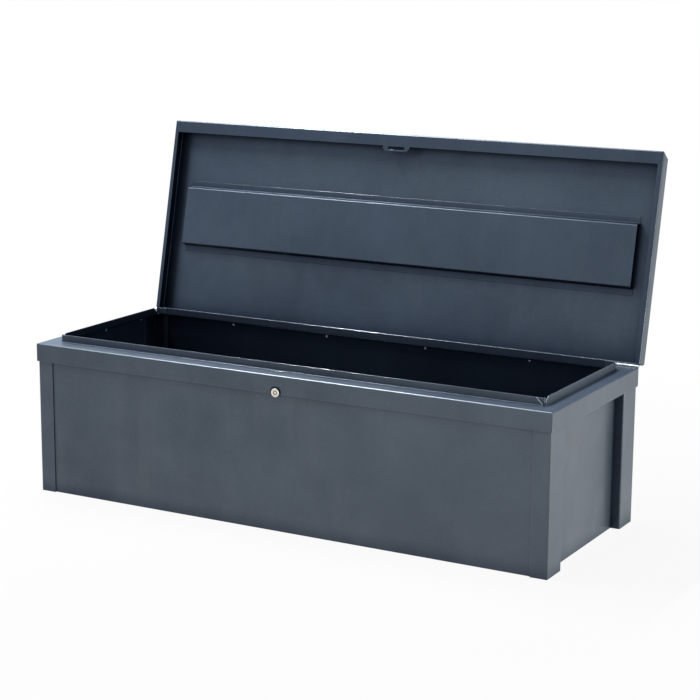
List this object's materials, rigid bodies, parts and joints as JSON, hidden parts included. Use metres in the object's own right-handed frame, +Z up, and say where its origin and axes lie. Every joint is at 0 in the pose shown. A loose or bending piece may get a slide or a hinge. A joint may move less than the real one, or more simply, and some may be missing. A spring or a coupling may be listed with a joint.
{
  "type": "steel storage chest",
  "caption": "Low, long folded steel storage chest with recessed end panels, corner posts, a lipped top frame, a hinged tray-shaped lid with an inner rib, and a hook lock.",
  "frame": {"origin": "on the ground under the middle of the chest, in the plane of the floor panel's underside and the posts' feet", "axes": "+X to the right along the chest's width, +Y to the hinge side at the back, +Z up"},
  "size_m": [1.2, 0.5707, 0.7592],
  "materials": {
    "painted_steel": "satin powder coat, blue grey",
    "zinc_plate": "bright zinc plate",
    "chrome_lock": "bright plated lock"
  },
  "bodies": {
    "chest_body": {"front_panel": "painted_steel", "rear_panel": "painted_steel", "left_side_panel": "painted_steel", "right_side_panel": "painted_steel", "floor_panel": "painted_steel", "front_left_post": "painted_steel", "front_right_post": "painted_steel", "rear_left_post": "painted_steel", "rear_right_post": "painted_steel", "top_frame": "painted_steel", "front_left_gusset": "painted_steel", "front_right_gusset": "painted_steel", "rear_left_gusset": "painted_steel", "rear_right_gusset": "painted_steel", "rear_frame_angle": "painted_steel", "left_frame_angle": "painted_steel", "right_frame_angle": "painted_steel", "frame_rivets": "zinc_plate", "hinge_lower_leaf": "zinc_plate", "hinge_lower_rivets": "zinc_plate", "hinge_pin": "zinc_plate", "lock_body": "chrome_lock", "lock_nut": "zinc_plate"},
    "lid": {"lid_panel": "painted_steel", "lid_stiffener": "painted_steel", "hinge_upper_leaf": "zinc_plate", "hinge_upper_rivets": "zinc_plate"},
    "lock_barrel": {"lock_plug": "chrome_lock", "lock_cam": "zinc_plate", "cam_washer": "zinc_plate", "cam_screw": "zinc_plate"}
  },
  "joints": [
    {"name": "lid_hinge", "type": "hinge", "parent": "chest_body", "child": "lid", "pos_m": [0, 0.22358, 0.3277], "axis": [1, 0, 0], "range_deg": [0, 102.5]},
    {"name": "lock_turn", "type": "hinge", "parent": "chest_body", "child": "lock_barrel", "pos_m": [0, -0.188, 0.2915], "axis": [0, 1, 0], "range_deg": [0, 90]}
  ]
}
